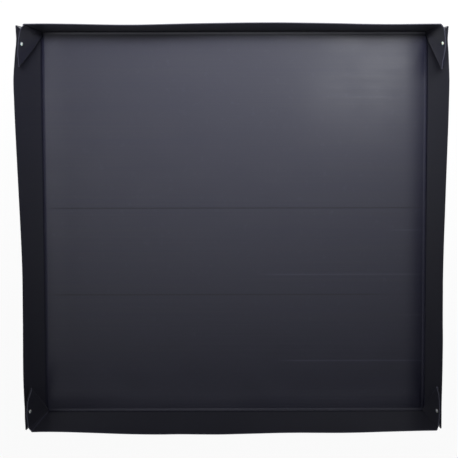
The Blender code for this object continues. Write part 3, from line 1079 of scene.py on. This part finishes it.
class TrayOuterWebs(bpy.types.Operator):
    """The halves of the corner webs that join the side walls, their flutes open at the rim"""

    bl_idname = "tray.outer_webs"
    bl_label = "Outer webs"

    def execute(self, context):
        """Stations run along the rim, five to a flute, and rows up from the floor's corner. Both
        ends are quarter-rounds: about the skin on the side wall at the wall's fold, and about the
        skin on the other half at the diagonal."""
        given = sizes()
        share = np.linspace(WEB_FOOT, 1, OUTER_ROWS)
        for side, end in CORNERS:
            label = corner_label(side, end)
            length = WEB_RIMS[label]["outer"][-1][0] / 1000
            place, is_open, _ = flute_stations(0.0, length)
            # Doubled stations share one place, so the skins come from evenly spread places
            even = np.linspace(0.0, length, OUTER_STATIONS)
            spread = web_surface(side, end, "outer", share[:, None], even)
            pick = place / length * (OUTER_STATIONS - 1)
            i = np.minimum(pick.astype(int), OUTER_STATIONS - 2)
            t = (pick - i)[:, None]
            near, far, tangent = (
                grid[:, i] * (1 - t) + grid[:, i + 1] * t for grid in web_skins(spread, side)
            )
            downward = near[-2] - near[-1]
            downward /= np.linalg.norm(downward, axis=-1, keepdims=True)
            deep = downward * (given.flute_depth * is_open)[:, None]
            inset = (far[-1] - near[-1]) * given.skin / given.sheet
            first, last = near[-1] + inset, far[-1] - inset
            flute = np.array([first, first + deep, last + deep, last])
            loops = np.concatenate([near, flute, far[::-1]]).transpose(1, 0, 2)
            start, stop = (
                fold_nose(
                    loops[at],
                    there_and_back(skin[:, at], len(flute)),
                    there_and_back(way, len(flute)),
                )
                for at, skin, way in ((0, near, -tangent[:, 0]), (-1, far, tangent[:, -1]))
            )
            loops = np.concatenate([start[::-1], loops, stop])
            materials = [finish("across_y"), finish("open_edge")]
            rim = range(OUTER_ROWS - 1, OUTER_ROWS + len(flute))
            piece = closed_object("outer_web_sheet_" + label, loops, materials, rim)
            drill(piece, side, end, WEB_BORE)
            onward = -np.array([0.0, end * given.wall_height, WEB_RIMS[label]["set"]])
            onward *= FOLD_BLEND / np.linalg.norm(onward)
            wall, web = SIDES[side][0] + "_wall", "outer_web_" + label
            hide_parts(web)
            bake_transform(piece)
        return {"FINISHED"}


class TrayInnerWebs(bpy.types.Operator):
    """The halves of the corner webs that join the end walls, whose flutes run along the rim"""

    bl_idname = "tray.inner_webs"
    bl_label = "Inner webs"

    def execute(self, context):
        """Stations run from the rounded corner along the rim, and rows up from the floor's corner,
        three to a flute. The start turns through 45 degrees about the corner's centre line, and the
        diagonal end is a quarter-round about the skin on the other half."""
        given = sizes()
        share = np.linspace(WEB_FOOT, 1, 3 * INNER_FLUTES + 1)
        degrees = np.linspace(45, 90, CORNER_STATIONS)[:-1]
        bent = {"": (), "corner": range(degrees.size), "diagonal": range(1 - NOSE_STATIONS, 0)}
        for side, end in CORNERS:
            label = corner_label(side, end)
            rims = WEB_RIMS[label]
            begin = given.side_half - abs(corner_centre(side, end, 1.0)[1])
            place = np.linspace(begin, rims["inner"][-1][0] / 1000, INNER_STATIONS)
            middle = web_surface(side, end, "inner", share[:, None], place)
            *skins, tangent = web_skins(middle, side)
            near, far = (
                np.concatenate([arc.transpose(1, 0, 2), skin], axis=1)
                for arc, skin in zip(corner_arcs(side, end, share, degrees), skins)
            )
            loops = np.concatenate([near, far[::-1]]).transpose(1, 0, 2)
            pivot, way = there_and_back(near[:, -1]), there_and_back(tangent[:, -1])
            loops = np.concatenate([loops, fold_nose(loops[-1], pivot, way)])
            materials = [finish("across_z"), finish("edge"), finish("painted_fold_highlight")]
            # Stations of the fold on which a paler colour is painted as its highlight
            name, highlit_fold = "inner_web_sheet_" + label, bent[rims["highlit_fold"]]
            piece = closed_object(name, loops, materials, [share.size - 1], highlit_fold)
            drill(piece, side, end, WEB_BORE)
            foot = near[0, -1]
            rise = near[-1, -1] - foot
            onward = np.array([0.0, end * rise[2], -end * rise[1]])
            onward *= FOLD_BLEND / np.linalg.norm(onward)
            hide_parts("inner_web_" + label)
            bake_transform(piece)
        return {"FINISHED"}


class TrayPins(bpy.types.Operator):
    """The corner pins: a domed head on the web inside, and a flanged socket on the wall outside"""

    bl_idname = "tray.pins"
    bl_label = "Corner pins"

    def execute(self, context):
        """Turned profiles about the pin's line. The head sits on the inner web's tray side, and the
        socket on the side wall's outer skin."""
        given = sizes()
        share = 1 - given.pin_drop / given.wall_height
        place = given.pin_inset / share
        arc = np.radians(range(20, 91, 10))
        dome = [(np.sin(a), 0, 1, PIN_DOME[0] + PIN_DOME[1] * np.cos(a)) for a in arc]
        profile = (*PIN_CROWN, *dome, *PIN_SHANK)
        for side, end in CORNERS:
            line, inward = pin_line(side, end)
            middle = web_surface(side, end, "inner", np.array(share), np.array(place))
            grip = float((middle - line) @ inward) + given.sheet / 2
            for short, node, table, wide, high in (
                ("pin_", "push_pin_", profile, given.pin_head, grip + PIN_GAP),
                ("socket_", "pin_socket_", SOCKET, given.pin_flange, grip),
            ):
                label = corner_label(side, end)
                points = profile_points(table, wide / 2, high)
                piece = turned_piece(short + label, points, line, inward, finish("nylon"))
                place_piece(piece, node + label, node + label)
        return {"FINISHED"}


class TrayStage(bpy.types.Operator):
    """Pale ground, soft studio light and the camera"""

    bl_idname = "tray.stage"
    bl_label = "Stage"

    def execute(self, context):
        """The ground is one square under the tray. A wide soft panel hangs over the back, with a
        smaller one to the right, and the sky is pale low down and dim overhead."""
        scene = context.scene
        mesh = bpy.data.meshes.new("ground")
        turns = ((-1, -1), (1, -1), (1, 1), (-1, 1))
        corners = [(x * GROUND_HALF, y * GROUND_HALF, GROUND_LEVEL) for x, y in turns]
        mesh.from_pydata(corners, [], [(0, 1, 2, 3)])
        mesh.materials.append(studio_ground())
        ground = bpy.data.objects.new("ground", mesh)
        scene.collection.objects.link(ground)
        for name, place, size, power, spread, mirrored in PANELS:
            lamp = bpy.data.lights.new(name, "AREA")
            lamp.shape = "ELLIPSE"
            lamp.size, lamp.size_y = size
            lamp.energy = power
            lamp.spread = math.radians(spread)
            lamp.color = PANEL_COLOUR
            light = bpy.data.objects.new(name, lamp)
            light.location = place
            light.visible_glossy = mirrored
            scene.collection.objects.link(light)
        world = bpy.data.worlds.new("studio")
        scene.world = world
        world.use_nodes = True
        world.node_tree.nodes.clear()
        add = partial(add_node, world.node_tree)
        axes = add("SeparateXYZ", {"Vector": add("TexCoord").outputs["Generated"]}).outputs
        rays = add("LightPath").outputs
        # Bright towards the back, and brightest a little to the left
        overhead = add("MapRange", {"Value": axes["Y"], **SKY_BACK})
        aside = add("Math", {0: axes["X"], 1: SKY_LEFT}, operation="ADD")
        aside = add("Math", {0: aside, 1: 2.0}, operation="POWER")
        aside = add("MapRange", {"Value": aside, **SKY_ASIDE})
        # Matt surfaces get less of the sky than mirrored ones
        shown = {0: rays["Is Glossy Ray"], 1: rays["Is Transmission Ray"]}
        shown = add("Math", shown, operation="MAXIMUM")
        high_share, low_share = (
            add("MapRange", {"Value": shown, "To Min": least}) for least in SKY_MATT
        )
        height = add("MapRange", {"Value": axes["Z"], **SKY_HIGH})
        for factor in (aside, high_share, height):
            overhead = add("Math", {0: overhead, 1: factor}, operation="MULTIPLY")
        depth = add("Math", {0: 1.0, 1: height}, operation="SUBTRACT")
        sky = add("Math", {0: depth, 1: low_share, 2: overhead}, operation="MULTIPLY_ADD")
        # White to the camera itself
        direct = rays["Is Camera Ray"]
        sky = add("Math", {0: sky, 1: direct}, operation="MAXIMUM")
        tint = {0: direct, MIX_A: SKY_COLOUR, MIX_B: (1.0, 1.0, 1.0, 1.0)}
        tint = add("Mix", tint, data_type="RGBA").outputs[MIX_OUT]
        add("OutputWorld", {"Surface": add("Background", {"Color": tint, "Strength": sky})})
        lens = bpy.data.cameras.new("camera")
        lens.lens, lens.sensor_width = CAMERA_LENS
        lens.shift_x, lens.shift_y = CAMERA_SHIFT
        camera = bpy.data.objects.new("camera", lens)
        camera.location = CAMERA_PLACE
        camera.rotation_euler = [math.radians(angle) for angle in CAMERA_TURN]
        scene.collection.objects.link(camera)
        scene.camera = camera
        scene.view_settings.view_transform = "Standard"
        return {"FINISHED"}


OPERATORS = (
    TrayFloor,
    TrayCreases,
    TraySideWalls,
    TrayEndWalls,
    TrayOuterWebs,
    TrayInnerWebs,
    TrayPins,
    TrayStage,
)


class TrayPanel(bpy.types.Panel):
    """Lists the tray's pieces and its sizes and colours"""

    bl_idname = "VIEW3D_PT_tray"
    bl_label = "Folding grow tray"
    bl_space_type = "VIEW_3D"
    bl_region_type = "UI"
    bl_category = "Tray"

    def draw(self, context):
        for operator in OPERATORS:
            self.layout.operator(operator.bl_idname)
        for group in (context.scene.tray_sizes, context.scene.tray_colours):
            for key in group.bl_rna.properties.keys():
                if key not in ("rna_type", "name"):
                    self.layout.prop(group, key)


CLASSES = (TraySizes, TrayColours, *OPERATORS, TrayPanel)


def register():
    for item in CLASSES:
        bpy.utils.register_class(item)
    bpy.types.Scene.tray_sizes = PointerProperty(type=TraySizes)
    bpy.types.Scene.tray_colours = PointerProperty(type=TrayColours)


def unregister():
    del bpy.types.Scene.tray_colours
    del bpy.types.Scene.tray_sizes
    for item in reversed(CLASSES):
        bpy.utils.unregister_class(item)


def main():
    register()
    bpy.ops.tray.floor()
    bpy.ops.tray.creases()
    bpy.ops.tray.side_walls()
    bpy.ops.tray.end_walls()
    bpy.ops.tray.outer_webs()
    bpy.ops.tray.inner_webs()
    bpy.ops.tray.pins()
    bpy.ops.tray.stage()


if __name__ == "__main__":
    main()
